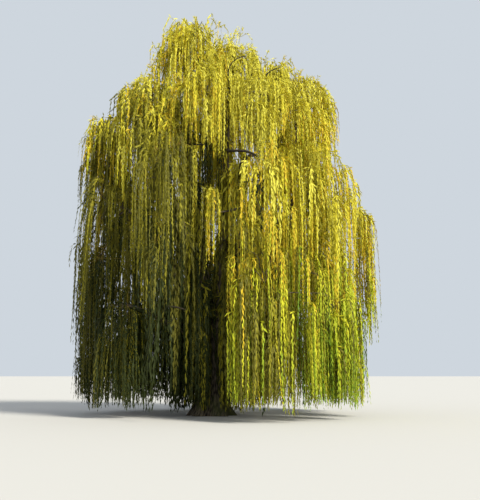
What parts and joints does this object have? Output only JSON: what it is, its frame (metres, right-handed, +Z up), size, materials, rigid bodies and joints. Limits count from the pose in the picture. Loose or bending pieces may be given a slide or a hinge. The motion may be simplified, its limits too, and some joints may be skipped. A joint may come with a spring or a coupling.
{
  "type": "weeping willow tree",
  "caption": "Weeping willow in early spring: a flared trunk forks low into arching boughs under domed cascades and long curtains of hanging yellow-green shoots.",
  "frame": {"origin": "middle of the flat cut under the trunk, at ground level", "axes": "+Z up the tree; -Y towards the side seen in the picture; +X towards the right of that view, where the curtains reach the grass"},
  "size_m": [12.1334, 11.0865, 16.1],
  "materials": {
    "bark": "rough, deeply furrowed grey-brown bark",
    "sunlit_shoots": "soft satin, golden yellow",
    "olive_shoots": "soft satin, olive yellow",
    "fresh_shoots": "soft satin, fresh yellow-green",
    "shaded_shoots": "soft satin, dull green"
  },
  "bodies": {
    "root": {"back_bough": "bark", "back_cascade_foliage": "shaded_shoots", "back_curtain_foliage": "shaded_shoots", "back_left_curtain_foliage": "shaded_shoots", "back_right_bough": "bark", "back_right_cascade_foliage": "shaded_shoots", "back_right_curtain_foliage": "shaded_shoots", "back_upper_foliage": "shaded_shoots", "back_upper_left_foliage": "shaded_shoots", "back_upper_right_foliage": "shaded_shoots", "far_right_bough": "bark", "far_right_curtain_foliage": "sunlit_shoots", "front_bough": "bark", "front_left_bough": "bark", "front_left_cascade_foliage": "olive_shoots", "front_low_cascade_foliage": "sunlit_shoots", "front_right_cascade_foliage": "sunlit_shoots", "front_right_curtain_foliage": "fresh_shoots", "front_right_shoulder_foliage": "sunlit_shoots", "front_upper_foliage": "sunlit_shoots", "front_upper_left_foliage": "olive_shoots", "front_upper_right_foliage": "sunlit_shoots", "leader_bough": "bark", "left_back_bough": "bark", "left_back_cascade_foliage": "shaded_shoots", "left_bough": "bark", "left_cascade_foliage": "olive_shoots", "left_curtain_foliage": "fresh_shoots", "left_shoulder_foliage": "olive_shoots", "left_upper_foliage": "olive_shoots", "low_left_bough": "bark", "low_left_curtain_foliage": "fresh_shoots", "mid_bough": "bark", "peak_bough": "bark", "peak_foliage": "sunlit_shoots", "right_back_bough": "bark", "right_back_cascade_foliage": "shaded_shoots", "right_back_curtain_foliage": "shaded_shoots", "right_bough": "bark", "right_cascade_foliage": "sunlit_shoots", "right_curtain_foliage": "fresh_shoots", "right_front_bough": "bark", "right_front_cascade_foliage": "sunlit_shoots", "right_front_curtain_foliage": "fresh_shoots", "right_shoulder_foliage": "sunlit_shoots", "right_upper_foliage": "sunlit_shoots", "second_peak_foliage": "sunlit_shoots", "trunk": "bark"}
  },
  "joints": []
}
